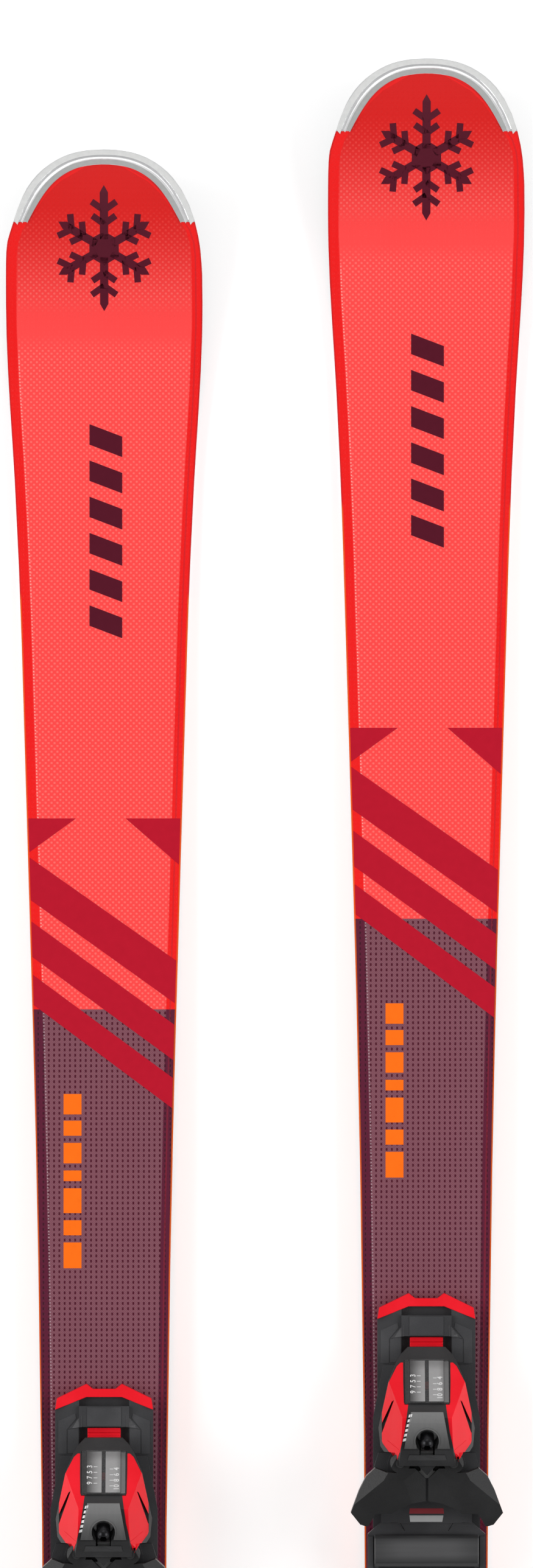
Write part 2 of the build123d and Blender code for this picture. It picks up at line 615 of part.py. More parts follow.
def heel_housing():
    """Body that swings up on the axle: jaw over the heel of the sole, step-in pedal, spring bore."""
    h = HEEL_Y
    ledge = SOLE_Z + HEEL_SOLE_HEIGHT + 0.5
    side = [(h - 2, SOLE_Z - 3), (h - 2, ledge), (h + 7, ledge), (h + 7, ledge + 3), (h - 2, ledge + 10),
            (h - 22, ledge + 16), (h - 62, ledge + 17), (h - 102, ledge + 11), (h - 102, ledge - 5),
            (h - 66, AXLE_Z - 6), (h - 56, AXLE_Z - 11), (h - 32, SOLE_Z - 3)]
    body = prism_x(side, -CHEEK_IN + 0.5, CHEEK_IN - 0.5)
    jaw_plan = mirrored_outline([(32, h + 12), (34, h + 2), (31, h - 14), (26, h - 19), (21, h - 19)])
    jaw_side = [(h + 12, SOLE_Z + 6), (h + 12, ledge + 1), (h + 4, ledge + 9), (h - 19, ledge + 14),
                (h - 19, SOLE_Z + 1), (h, SOLE_Z + 1)]
    jaw = prism_z(jaw_plan, 0, 200) & prism_x(jaw_side, -40, 40)
    boot = rod((0, h + SOLE_RADIUS, SOLE_Z - 3), (0, 0, 1), SOLE_RADIUS + 0.3, HEEL_SOLE_HEIGHT + 3.5)
    lip = rod((0, h + SOLE_RADIUS + 8, SOLE_Z - 3), (0, 0, 1), SOLE_RADIUS, 60)
    pedal = prism_z(mirrored_outline([(14, h + 15), (20, h + 11), (21, h - 6)]), SOLE_Z - 6.5, SOLE_Z - 3)
    housing = (body + jaw) - boot - lip + pedal
    sweep_out = rod((-6, AXLE_Y, AXLE_Z), (1, 0, 0), 36, 12) & block(-6, 6, AXLE_Y + 14, h, 0, AXLE_Z + 17.5)
    housing -= sweep_out
    housing -= heel_axis_rod(PLUNGER_RADIUS + RUN_GAP, -1, 55.3) + heel_axis_rod(5.2, 50, 90)
    housing -= rod((-50, AXLE_Y, AXLE_Z), (1, 0, 0), AXLE_RADIUS + RUN_GAP, 100)
    lug = prism_x([(h - 70, ledge + 12), (h - 64, ledge + 26), (h - 56, ledge + 26), (h - 48, ledge + 12)], 12.4, 17)
    housing += both_sides(lug)
    return housing - lever_pin(LEVER_PIN_RADIUS + RUN_GAP, 30)


def lever_pin(radius, half):
    ledge = SOLE_Z + HEEL_SOLE_HEIGHT + 0.5
    return rod((-half, HEEL_Y - 60, ledge + 22), (1, 0, 0), radius, 2 * half)


def heel_lever():
    """Step-out lever: pressed down by hand or by the tip of a pole."""
    h = HEEL_Y
    base = SOLE_Z + HEEL_SOLE_HEIGHT + 0.5
    hub = lever_pin(3.6, 12)
    side = [(h - 57, base + 22.5), (h - 60, base + 25.6), (h - 70, base + 26.5), (h - 132, base + 36),
            (h - 136, base + 33), (h - 130, base + 29.5), (h - 72, base + 21), (h - 63, base + 19)]
    paddle = prism_x(side, -19, 19)
    plan = mirrored_outline([(12, h - 55), (12, h - 68), (19, h - 76), (17, h - 118), (11, h - 137)])
    dish = Pos(0, h - 112, base + 58) * Sphere(27)
    lever = (hub + (paddle & prism_z(plan, 0, 200))) - dish
    return lever + lever_pin(LEVER_PIN_RADIUS, 16.8)


def heel_follower():
    nose = heel_axis_rod(PLUNGER_RADIUS, 0.6, 10)
    return nose - heel_axis_rod(3.4, 4, 12)


def heel_screw():
    screw = heel_axis_rod(PLUNGER_RADIUS, 52.3, 55.2) + heel_axis_rod(5.1, 55.2, 69.5)
    along = Plane(origin=(0, 66.5, 0), x_dir=(1, 0, 0), z_dir=(0, 1, 0))
    return screw - HEEL_AXIS * extrude(along * Rectangle(1.4, 8), 5)


def heel_spring():
    along = Plane(origin=(0, 10.1, 0), x_dir=(1, 0, 0), z_dir=(0, 1, 0))
    return HEEL_AXIS * (along * coil(4.9, 1.3, 42, 9))


def brake():
    """Pedal under the boot and two bent wires with plastic feet, turning as one piece."""
    y, z = BRAKE_Y, SKI_TOP + BRAKE_RISE
    route = [(0, y, z), (BRAKE_HALF, y, z), (BRAKE_HALF, y - BRAKE_REACH, z - 2)]
    path = FilletPolyline(*route, radius=9)
    wire = sweep(Plane(origin=route[0], z_dir=(1, 0, 0)) * Circle(BRAKE_WIRE), path=path)
    foot = prism_x([(y - BRAKE_REACH + 6, z - 6), (y - BRAKE_REACH + 6, z + 3.5), (y - BRAKE_REACH - 14, z + 5),
                    (y - BRAKE_REACH - 26, z + 1), (y - BRAKE_REACH - 26, z - 4), (y - BRAKE_REACH - 12, z - 7.5)],
                   BRAKE_HALF - 3.6, BRAKE_HALF + 3.6)
    plate = prism_z(mirrored_outline([(14, y + 50), (19, y + 44), (19, y + 2)]), z + 1, SOLE_Z - 0.8)
    tube = rod((-20, y, z), (1, 0, 0), 4.1, 40)
    return plate + tube + both_sides(wire + foot)


def heel_parts():
    return {
        "heel_base": heel_base(),
        "heel_housing": heel_housing(),
        "heel_lever": heel_lever(),
        "heel_axle": rod((-CHEEK_OUT, AXLE_Y, AXLE_Z), (1, 0, 0), AXLE_RADIUS, 2 * CHEEK_OUT),
        "heel_follower": heel_follower(),
        "heel_spring": heel_spring(),
        "heel_screw": heel_screw(),
        "brake": brake(),
    }


def main():
    os.makedirs("parts", exist_ok=True)
    nodes = {**ski_parts(), **track_parts(), **toe_parts(), **heel_parts()}
    for name, side in (("left", -1), ("right", 1)):
        place = Pos(side * SKI_SPACING / 2, side * SKI_STAGGER / 2, 0)
        for node, shape in nodes.items():
            export_step(place * shape, f"parts/{name}_{node}.step")
    print(len(nodes), "nodes for each ski")


main()
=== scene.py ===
import bpy, bmesh, math
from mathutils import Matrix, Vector
from mathutils.bvhtree import BVHTree


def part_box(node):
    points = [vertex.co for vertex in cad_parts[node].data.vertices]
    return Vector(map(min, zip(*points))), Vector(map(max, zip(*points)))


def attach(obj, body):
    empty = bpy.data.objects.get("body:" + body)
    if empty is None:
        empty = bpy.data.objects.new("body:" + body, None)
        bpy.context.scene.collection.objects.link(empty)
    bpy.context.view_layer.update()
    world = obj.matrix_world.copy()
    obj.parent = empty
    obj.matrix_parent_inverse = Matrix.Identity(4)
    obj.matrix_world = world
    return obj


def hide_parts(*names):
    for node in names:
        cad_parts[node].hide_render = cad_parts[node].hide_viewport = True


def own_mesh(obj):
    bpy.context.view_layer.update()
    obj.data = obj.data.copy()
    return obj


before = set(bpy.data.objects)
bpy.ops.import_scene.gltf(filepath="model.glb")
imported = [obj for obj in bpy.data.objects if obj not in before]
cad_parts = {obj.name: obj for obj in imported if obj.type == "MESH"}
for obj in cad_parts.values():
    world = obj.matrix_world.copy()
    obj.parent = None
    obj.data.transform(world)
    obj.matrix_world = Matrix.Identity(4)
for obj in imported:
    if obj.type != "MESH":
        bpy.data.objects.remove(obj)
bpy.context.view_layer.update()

# ---- Floor, light and camera ----
# The pair lies on a plain pale floor, each ski flat on its running base.
# A large soft light on each side and a pale sky light it without hard shadows.
camera = bpy.data.objects.new("camera", bpy.data.cameras.new("camera"))
bpy.context.scene.collection.objects.link(camera)
bpy.context.scene.camera = camera
camera.location = (0.0007, 0.4939, 9.82)
camera.data.sensor_width, camera.data.lens = 36, 400
camera.data.clip_start, camera.data.clip_end = 0.1, 200
bpy.context.scene.view_settings.view_transform = "Standard"

sky = bpy.data.worlds.new("sky")
sky.use_nodes = True
sky.node_tree.nodes["Background"].inputs["Color"].default_value = (1, 1, 1, 1)
sky_links = sky.node_tree.links
direction = sky.node_tree.nodes.new("ShaderNodeTexCoord")
upward = sky.node_tree.nodes.new("ShaderNodeSeparateXYZ")
fade_up = sky.node_tree.nodes.new("ShaderNodeMapRange")  # paler at the horizon than overhead
for socket, value in (("From Min", 0.15), ("From Max", 0.95), ("To Min", 0.82), ("To Max", 0.34)):
    fade_up.inputs[socket].default_value = value
sky_links.new(direction.outputs["Generated"], upward.inputs[0])
sky_links.new(upward.outputs["Z"], fade_up.inputs["Value"])
sky_links.new(fade_up.outputs[0], sky.node_tree.nodes["Background"].inputs["Strength"])
bpy.context.scene.world = sky
for name, where, wide, power in (
    ("soft light left", (-3.6, 0.6, 2.9), 3.0, 120), ("soft light right", (3.6, 0.2, 2.9), 3.0, 104),
    ("soft light tips", (0.0, 4.2, 2.6), 3.0, 36), ("soft light tails", (0.4, -4.2, 2.2), 2.6, 24),
):
    lamp = bpy.data.objects.new(name, bpy.data.lights.new(name, "AREA"))
    lamp.data.size, lamp.data.energy = wide, power
    lamp.location = where
    lamp.rotation_euler = (-Vector(where)).to_track_quat("-Z", "Y").to_euler()
    bpy.context.scene.collection.objects.link(lamp)

FLOOR_HALF, FLOOR_Z = 30, -0.0004
floor_corners = [(x * FLOOR_HALF, y * FLOOR_HALF, FLOOR_Z) for x, y in ((-1, -1), (1, -1), (1, 1), (-1, 1))]
floor_mesh = bpy.data.meshes.new("floor")
floor_mesh.from_pydata(floor_corners, [], [(0, 1, 2, 3)])
floor = bpy.data.objects.new("floor", floor_mesh)
bpy.context.scene.collection.objects.link(floor)
floor_mesh.materials.append(bpy.data.materials.new("floor"))
floor_mesh.materials[0].use_nodes = True
floor_shader = floor_mesh.materials[0].node_tree.nodes["Principled BSDF"]
for socket, value in (("Base Color", (0.74, 0.74, 0.74, 1)), ("Emission Color", (1, 1, 1, 1)),
                      ("Emission Strength", 0.36), ("Roughness", 0.9)):
    floor_shader.inputs[socket].default_value = value

# ---- Running bases ----
# The running base is a sheet of sintered polyethylene, black with graphite, glued under the core.
# It is stone ground, which leaves fine lines along the ski.
SKI_X, SKI_Y = 0.0905, 0.0255
SKIS = {"left": (-SKI_X, -SKI_Y), "right": (SKI_X, SKI_Y)}  # centre of each ski on the floor


class Signal:
    """A socket of a finish; the usual operators on it add Math nodes."""

    def __init__(self, finish, out):
        self.finish, self.out = finish, out

    def maths(self, what, *others):
        return self.finish.node("ShaderNodeMath", {"operation": what}, dict(enumerate((self,) + others)))

    def __add__(self, other):
        return self.maths("ADD", other)

    def __mul__(self, other):
        return self.maths("MULTIPLY", other)

    def __sub__(self, other):
        return self.maths("SUBTRACT", other)

    def __truediv__(self, other):
        return self.maths("DIVIDE", other)

    def __mod__(self, other):
        return self.maths("FLOORED_MODULO", other)

    def __rsub__(self, other):
        return self * -1.0 + other

    def __abs__(self):
        return self.maths("ABSOLUTE")

    __radd__, __rmul__ = __add__, __mul__

    def wave(self, length):
        return (self * (2 * math.pi / length)).maths("COSINE")

    def step(self, start, end):
        """0 up to start, 1 from end on, smooth between them."""
        return self.finish.node(
            "ShaderNodeMapRange", {"interpolation_type": "SMOOTHSTEP"},
            {"Value": self, "From Min": start, "From Max": end, "To Min": 0.0, "To Max": 1.0})


class Finish:
    """A material that is made of nodes, with its coordinates in millimetres of one ski."""

    def __init__(self, name, **uniform):
        self.material = bpy.data.materials.new(name)
        self.material.use_nodes = True
        self.tree = self.material.node_tree
        self.shader = self.tree.nodes["Principled BSDF"]
        self.set(**uniform)
        self.place = self.node("ShaderNodeTexCoord", {}, {}, "Object")
        split = [self.node("ShaderNodeSeparateXYZ", {}, {0: self.place}, axis) for axis in "XYZ"]
        ski = split[0].maths("SIGN")
        self.x = (split[0] - ski * SKI_X) * 1000.0
        self.y = (split[1] - ski * SKI_Y) * 1000.0
        self.z = split[2] * 1000.0

    def node(self, kind, settings, sockets, out=0):
        made = self.tree.nodes.new(kind)
        for name, value in settings.items():
            if name == "curve":
                points = made.mapping.curves[0].points
                points[0].location, points[1].location = value[0], value[-1]
                for point in value[1:-1]:
                    points.new(*point)
                for point in points:
                    point.handle_type = "VECTOR"
                made.mapping.update()
            else:
                setattr(made, name, value)
        for name, value in sockets.items():
            self.put(made.inputs[name], value)
        return Signal(self, made.outputs[out])

    def put(self, socket, value):
        if isinstance(value, Signal):
            self.tree.links.new(value.out, socket)
        elif socket.type == "RGBA":
            socket.default_value = (*value[:3], 1.0)
        else:
            socket.default_value = value

    def set(self, **sockets):
        for name, value in sockets.items():
            self.put(self.shader.inputs[name.replace("_", " ")], value)

    def mix(self, amount, one, other):
        return self.node("ShaderNodeMix", {"data_type": "RGBA"}, {0: amount, 6: one, 7: other}, 2)

    def noise(self, scale, detail=3.0, stretch=(1, 1, 1)):
        place = self.node("ShaderNodeVectorMath", {"operation": "MULTIPLY"}, {0: self.place, 1: stretch})
        return self.node("ShaderNodeTexNoise", {}, {"Vector": place, "Scale": scale, "Detail": detail})

    def relief(self, height, depth):
        """Bump of that depth in metres, from a height of 0 to 1."""
        self.set(Normal=self.node("ShaderNodeBump", {}, {"Height": height, "Distance": depth, "Strength": 1.0}))

    def surface(self, amount, dark, light, grain, spread, rough, depth):
        """From dark to light by the amount; roughness and bump follow the grain."""
        self.set(Base_Color=self.mix(amount, dark, light), Roughness=grain * spread + rough)
        self.relief(grain, depth)


def paint(red, green, blue):
    """A colour on the 0 to 255 scale, as the light that a surface of it gives back."""
    return tuple((v / 255) ** 2.2 * 0.86 for v in (red, green, blue))


def coat(finish, *nodes):
    """The same finish on that node of both skis."""
    for ski in SKIS:
        for node in nodes:
            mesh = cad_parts[f"{ski}_{node}"].data
            mesh.materials.clear()
            mesh.materials.append(finish.material)


ground_base = Finish("graphite running base")
grind = ground_base.noise(900, 2.0, (1, 0.02, 1))
ground_base.surface(grind, (0.012, 0.012, 0.013), (0.035, 0.035, 0.038), grind, 0.25, 0.35, 0.00006)
coat(ground_base, "running_base")

# ---- Edges, tip and tail guards ----
# Two hardened steel edges run along the base. The tip and tail guards are cast alloy, screwed
# to the core, with a polished step round the rim.
TIP_HALF, TIP_DEPTH, TIP_END = 55.25, 85.0, 875.0  # of the squared-off oval of the tip, in millimetres
GUARD_REACH, GUARD_NARROWS = 39.6, 20.0  # how far behind the tip the bands end, and where they start to narrow
GUARD_COLUMNS, GUARD_LIFT = 5, 0.00006

ground_steel = Finish("ground steel edge", Metallic=1.0)
draw = ground_steel.noise(700, 3.0, (1, 0.03, 1))
ground_steel.surface(draw, paint(205, 206, 208), paint(232, 233, 235), draw, 0.2, 0.22, 0.00004)
coat(ground_steel, "edges_and_guards")


def cast_alloy(name, dark, light, rough, metal, pitting):
    alloy = Finish(name, Metallic=metal)
    grain = alloy.noise(420, 4.0)
    alloy.surface(grain, paint(*dark), paint(*light), grain, 0.12, rough, pitting)
    return alloy


guard_rim = cast_alloy("guard rim", (205, 207, 206), (226, 227, 226), 0.45, 0.15, 0.00002)
guard_polish = cast_alloy("guard polish", (236, 237, 238), (252, 252, 253), 0.1, 0.75, 0.000003)
guard_matte = cast_alloy("guard matte", (160, 162, 161), (178, 180, 179), 0.5, 0.2, 0.00002)


def touch(nodes):
    """What the top of those nodes' meshes is found with, by a ray from above."""
    found = []
    for node in nodes:
        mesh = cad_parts[node].data
        found.append(BVHTree.FromPolygons([v.co for v in mesh.vertices], [p.vertices[:] for p in mesh.polygons]))
    return found


def height(trees, x, y):
    """The highest point there, or None beside them."""
    hits = [tree.ray_cast(Vector((x, y, 1.0)), Vector((0, 0, -1)))[0] for tree in trees]
    hits = [hit.z for hit in hits if hit is not None]
    return max(hits) if hits else None


def add_piece(name, verts, faces, finish, body, smooth=True):
    mesh = bpy.data.meshes.new(name)
    mesh.from_pydata([tuple(v) for v in verts], [], faces)
    mesh.materials.append(finish.material)
    if smooth:
        mesh.shade_smooth()
    piece = bpy.data.objects.new(name, mesh)
    bpy.context.scene.collection.objects.link(piece)
    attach(piece, body)
    return piece


def rim_point(turn, inset):
    """A point of the tip's outline, moved in by the inset."""
    wide = abs(math.sin(turn)) ** (2 / 2.35)
    along = abs(math.cos(turn)) ** (2 / 2.8)
    return (math.copysign(wide, turn) * (TIP_HALF - inset), TIP_END - inset - TIP_DEPTH + along * TIP_DEPTH)


for ski, (ski_x, ski_y) in SKIS.items():
    guard = touch([f"{ski}_edges_and_guards"])
    sheet = touch([f"{ski}_top_sheet", f"{ski}_edges_and_guards"])
    for band, finish, start, end, crown in (
        ("rim", guard_rim, 0.25, 3.0, 0.10),
        ("polish", guard_polish, 3.0, 5.5, 0.42),
        ("matte", guard_matte, 5.5, 8.15, 0.08),
    ):
        rows, turns = [], [math.radians(a / 2) for a in range(-146, 147)]
        for turn in turns:
            x0, y0 = rim_point(turn, start)
            if y0 < TIP_END - GUARD_REACH:
                continue
            narrow = 1.0 - 0.17 * max((TIP_END - y0 - GUARD_NARROWS) / (GUARD_REACH - GUARD_NARROWS), 0) ** 2
            row = []
            for k in range(GUARD_COLUMNS):
                part = k / (GUARD_COLUMNS - 1)
                x, y = rim_point(turn, (start + (end - start) * part) * narrow)
                top = height(guard, ski_x, ski_y + y / 1000)
                if top is None:  # behind the rim the middle shows the top sheet, which lies a step lower
                    top = height(sheet, ski_x, ski_y + y / 1000) + 0.0006
                lift = GUARD_LIFT + crown / 1000 * (1 - (2 * part - 1) ** 2)
                row.append(Vector((ski_x + x / 1000, ski_y + y / 1000, top + lift)))
            rows.append(row)
        verts = [v for row in rows for v in row]
        corner = [i * GUARD_COLUMNS + k for i in range(len(rows) - 1) for k in range(GUARD_COLUMNS - 1)]
        faces = [(c, c + 1, c + 1 + GUARD_COLUMNS, c + GUARD_COLUMNS) for c in corner]
        add_piece(f"{ski}_guard_{band}", verts, faces, finish, f"{ski}_ski")

# ---- Wood cores ----
# The core is laminated from upright strips of poplar and ash, glued side by side.
# It shows only where the guards and the sidewalls leave it open.
STRIP_WIDE = 9.0
laminate = Finish("laminated wood core")
strip = (laminate.x / STRIP_WIDE).maths("FLOOR").maths("SINE") * 0.5 + 0.5
fibre = laminate.noise(160, 4.0, (1, 0.06, 1))
laminate.surface(strip * 0.5 + fibre * 0.5, paint(196, 150, 98), paint(232, 196, 146), fibre, 0.2, 0.5, 0.0001)
coat(laminate, "core")

# ---- Sidewalls ----
# A strip of ABS plastic stands on each steel edge, milled to shape after pressing.
# It is orange along the running length and red round the shovel.
milled = Finish("milled sidewall", Specular_IOR_Level=0.35)
marks = milled.noise(300, 3.0, (1, 0.25, 1))
orange = milled.mix(marks, paint(240, 88, 20), paint(255, 118, 42))
red = milled.mix(marks, paint(214, 24, 26), paint(236, 44, 42))
milled.surface(milled.y.step(622, 628), orange, red, marks, 0.2, 0.32, 0.00005)
coat(milled, "sidewalls")

# ---- Top sheets ----
# The top sheet is clear polyamide, printed from behind: red in front, dark purple under the boot.
# Its woven backing shows through as rows of small dots, and its rims slope to the sidewalls; the shade on the rims,
# a glint on the left rim and the shade on the upturned tip are painted into its colour.
PRINT_CHANGE, TAIL_CHANGE = 392.6, -632.0  # the purple print lies between them
WIDEST = 60.0  # what the curve of half widths is scaled by
DOT_PITCH = 2.97
top_tree = {ski: touch([f"{ski}_top_sheet"]) for ski in SKIS}


def half_width(y):
    """Half of the top sheet's width there, in millimetres, by a ray from the side just under its top."""
    ski_x, ski_y = SKIS["left"]
    top = height(top_tree["left"], ski_x, ski_y + y / 1000)
    beside = Vector((ski_x - 0.09, ski_y + y / 1000, top - 0.0003))
    hit = top_tree["left"][0].ray_cast(beside, Vector((1, 0, 0)))[0]
    return (ski_x - hit.x) * 1000


print_sheet = Finish("printed top sheet", Coat_Weight=0.15, Coat_Roughness=0.12, Specular_IOR_Level=0.15)
x, y = print_sheet.x, print_sheet.y
stations = [-862, -850, -835] + list(range(-820, 821, 41)) + [832, 842, 852, 860, 864]
widths = [((s + TIP_END) / (2 * TIP_END), half_width(s) / WIDEST) for s in stations]
rim = print_sheet.node("ShaderNodeFloatCurve", {"curve": widths}, {"Value": (y + TIP_END) / (2 * TIP_END)}) * WIDEST
from_rim = rim - abs(x)
red_zone = y.step(PRINT_CHANGE - 0.1, PRINT_CHANGE + 0.1)
tail_zone = 1.0 - y.step(TAIL_CHANGE - 0.1, TAIL_CHANGE)
reds = (red_zone + tail_zone).maths("MINIMUM", 1.0)

# red print: staggered light dashes, none on the smooth patch behind the snow crystal
dashes = (x.wave(3.3) * y.wave(3.2)).step(0.12, 0.75)
smooth_patch = y.step(760, 774) * (1.0 - y.step(782, 796)) + y.step(833, 848)
dashes = dashes * (1.0 - smooth_patch.maths("MINIMUM", 1.0))
cloud = print_sheet.noise(14, 2.0)
# painted shade: the red is painted darker towards the upturned tip, which faces away from the light; the dashes
# darken with it
shaded_tip_red = print_sheet.mix(y.step(770, 845), paint(255, 74, 73), paint(214, 30, 28))
body_red_into_tip_shade = print_sheet.mix(y.step(560, 760), paint(252, 72, 71), shaded_tip_red)
dash_red_into_tip_shade = print_sheet.mix(y.step(770, 850), paint(255, 118, 112), paint(226, 48, 44))
red_print_with_tip_shade = print_sheet.mix(dashes * 0.75, body_red_into_tip_shade, dash_red_into_tip_shade)
# painted shade: the red rim colour is darker than the print, for the shade on the sloping rim
red_rim_shade = print_sheet.mix(cloud * 0.4, paint(236, 26, 26), paint(246, 44, 42))

# purple print: a square grid of dark dots, twisted yarns between them
across = abs(x % DOT_PITCH - DOT_PITCH / 2)
along = abs(y % DOT_PITCH - DOT_PITCH / 2)
dots = (1.0 - across.step(0.38, 0.62)) * (1.0 - along.step(0.62, 0.92))
yarn = (x + y).wave(1.05) * 0.5 + 0.5
purple = print_sheet.mix(yarn, paint(108, 62, 76), paint(138, 90, 100))
purple_print = print_sheet.mix(dots, purple, paint(76, 18, 38))
# painted shade: the purple rim colour is darker than the print, for the shade on the sloping rim
purple_rim_shade = print_sheet.mix(dots, paint(92, 32, 54), paint(66, 18, 38))

print_colour_with_tip_shade = print_sheet.mix(reds, purple_print, red_print_with_tip_shade)
# painted shade: the rim colours lie in a band about 5 mm wide along each edge; the slope itself is only a bump
rim_shade_colour = print_sheet.mix(reds, purple_rim_shade, red_rim_shade)
shaded_rim_band = 1.0 - from_rim.step(4.6, 5.4)
colour = print_sheet.mix(shaded_rim_band, print_colour_with_tip_shade, rim_shade_colour)
# painted shade: a darker line inside the right rim, the side whose slope turns away from the light
right_rim_shade_line = from_rim.step(2.1, 2.4) * (1.0 - from_rim.step(3.0, 3.3)) * x.step(0.0, 1.0)
colour = print_sheet.mix(right_rim_shade_line * 0.35, colour, paint(150, 40, 50))
# painted highlight: a dotted line of light glints inside the left rim, where its slope catches the light
left_rim_glint_dots = from_rim.step(5.0, 5.25) * (1.0 - from_rim.step(5.75, 6.0)) * (1.0 - x.step(-1.0, 0.0))
left_rim_glint_dots = left_rim_glint_dots * y.wave(1.75).step(-0.1, 0.5) * y.step(-790, -780) * (1.0 - y.step(755, 765))
colour = print_sheet.mix(left_rim_glint_dots * 0.7, colour, print_sheet.mix(reds, paint(178, 150, 158), paint(255, 170, 162)))
print_sheet.set(Base_Color=colour, Roughness=cloud * 0.12 + 0.3 - dashes * 0.05)
print_sheet.relief(dashes * 0.5 + dots * -0.5 + shaded_rim_band * -1.0 + 1.0, 0.00012)
coat(print_sheet, "top_sheet")

# ---- Prints on the top sheets ----
# Shapes printed in crimson, dark purple and orange: a snow crystal near the tip, a row of slanted
# bars, leaning stripes across the middle and the tail, and a column of orange dashes.


def ink(name, colour, rough=0.3):
    """A flat ink under the clear sheet, a little uneven."""
    made = Finish(name, Specular_IOR_Level=0.15, Coat_Weight=0.15, Coat_Roughness=0.12)
    grain = made.noise(240, 3.0)
    dark, light = tuple(c * 0.93 for c in colour), tuple(min(c * 1.06, 1) for c in colour)
    made.surface(grain, dark, light, grain, 0.08, rough, 0.00001)
    return made


crimson = ink("crimson ink", paint(183, 20, 44))
dark_purple = ink("dark purple ink", paint(84, 18, 38))
orange_ink = ink("orange ink", paint(255, 112, 22))


def printed(name, shapes, ski, nodes, finish, body, cell=4.0, lift=0.00007):
    """Flat shapes, given in millimetres on one ski, laid on the top of those nodes."""
    ski_x, ski_y = SKIS[ski]
    trees = touch([f"{ski}_{node}" for node in nodes])
    mesh = bmesh.new()
    for shape in shapes:
        mesh.faces.new([mesh.verts.new((px, py, 0)) for px, py in shape])
    bmesh.ops.triangulate(mesh, faces=mesh.faces[:])
    for axis, normal in ((0, (1, 0, 0)), (1, (0, 1, 0))):
        spots = [v.co[axis] for v in mesh.verts]
        at = math.floor(min(spots) / cell) * cell + cell
        while at < max(spots):
            cut = (at, 0, 0) if axis == 0 else (0, at, 0)
            whole = mesh.verts[:] + mesh.edges[:] + mesh.faces[:]
            bmesh.ops.bisect_plane(mesh, geom=whole, plane_co=cut, plane_no=normal, dist=1e-5)
            at += cell
    for face in mesh.faces:
        face.normal_update()
        if face.normal.z < 0:
            face.normal_flip()
    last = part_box(f"{ski}_{nodes[0]}")[1].z
    for vert in mesh.verts:
        where = (ski_x + vert.co.x / 1000, ski_y + vert.co.y / 1000)
        top = height(trees, *where)
        last = top if top is not None else last
        vert.co = Vector((*where, last + lift))
    made = bpy.data.meshes.new(name)
    mesh.to_mesh(made)
    mesh.free()
    made.materials.append(finish.material)
    piece = bpy.data.objects.new(name, made)
    bpy.context.scene.collection.objects.link(piece)
    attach(piece, body)
    return piece


def bar(x0, y0, x1, y1, wide):
    """A straight bar between two points, as an outline."""
    run = Vector((x1 - x0, y1 - y0)).normalized() * (wide / 2)
    start = [(x0 - run.y, y0 + run.x), (x0 + run.y, y0 - run.x)]
    return start + [(x1 + run.y, y1 - run.x), (x1 - run.y, y1 + run.x)]


CRYSTAL_Y, HUB_RADIUS, STEM_HALF, STEM_POINT = 820.4, 9.5, 2.3, 4
hub_turns = [math.radians(60 * k) for k in range(6)]
crystal = [[(math.sin(turn) * HUB_RADIUS, CRYSTAL_Y + math.cos(turn) * HUB_RADIUS) for turn in hub_turns]]
for arm, lean in enumerate(hub_turns):
    reach = 35.0 if arm in (0, 3) else 29.5
    ahead = Vector((math.sin(lean), math.cos(lean)))
    beside = Vector((ahead.y, -ahead.x)) * STEM_HALF
    root, neck = ahead * 5, ahead * (reach - STEM_POINT)
    stem = [root + beside, neck + beside, ahead * reach, neck - beside, root - beside]
    crystal.append([(p.x, p.y + CRYSTAL_Y) for p in stem])
    for side in (1, -1):
        for r, out in ((13.5, 8.0), (21.0, 8.5)):
            root = ahead * r
            end = root + Vector((math.sin(lean + side * 0.96), math.cos(lean + side * 0.96))) * out
            crystal.append(bar(root.x, root.y + CRYSTAL_Y, end.x, end.y + CRYSTAL_Y, 3.6))

slanted = [[(-8.4, y + 18.5), (10.0, y + 11.5), (10.0, y), (-8.4, y + 7.0)]
           for y in (703.5 - 20.4 * k for k in range(6))]


def behind(points):
    """Points given by their distance behind the tip."""
    return [(px, TIP_END - back) for px, back in points]


def side_at(back, sign):
    """A point just inside the side of the top sheet."""
    return (sign * (half_width(TIP_END - back) - 0.1), back)


def leaning(start, wide, lag=58):
    """A stripe across the ski, further back on the right than on the left by the lag."""
    front = [side_at(start, -1), side_at(start + lag, 1)]
    back = [side_at(start + lag + wide, 1), side_at(start + wide, -1)]
    return behind(front + back)


left_corner = behind([side_at(375, -1), (-16, 375), side_at(394, -1)])
right_corner = behind([(12, 375), side_at(375, 1), side_at(401, 1)])
stripes = [leaning(397, 24), leaning(433, 20), leaning(463, 17)]
tail_stripes = [leaning(1400, 24), leaning(1436, 10), leaning(1520, 7, 0)]
DASH_LEFT, DASH_RIGHT = -22.9, -12.8
dashes_at = [(530.0, 541.5), (545.0, 553.5), (557.5, 569.0), (573.0, 579.0),
             (583.0, 597.0), (601.0, 609.5), (613.5, 628.0)]
column = [behind([(DASH_LEFT, a), (DASH_RIGHT, a), (DASH_RIGHT, b), (DASH_LEFT, b)]) for a, b in dashes_at]
for ski in SKIS:
    for name, shapes, finish in (
        ("snow_crystal", crystal, dark_purple),
        ("slanted_bars", slanted, dark_purple),
        ("crimson_stripes", [left_corner, right_corner] + stripes + tail_stripes, crimson),
        ("orange_dashes", column, orange_ink),
    ):
        printed(f"{ski}_{name}", shapes, ski, ["top_sheet"], finish, f"{ski}_ski", 6.0)

# ---- Tracks ----
# One long track of glass-filled nylon is screwed on under both halves of the binding.
# Its deck has thin plates with fine seams, a channel for the latch, and a red moulded nose.


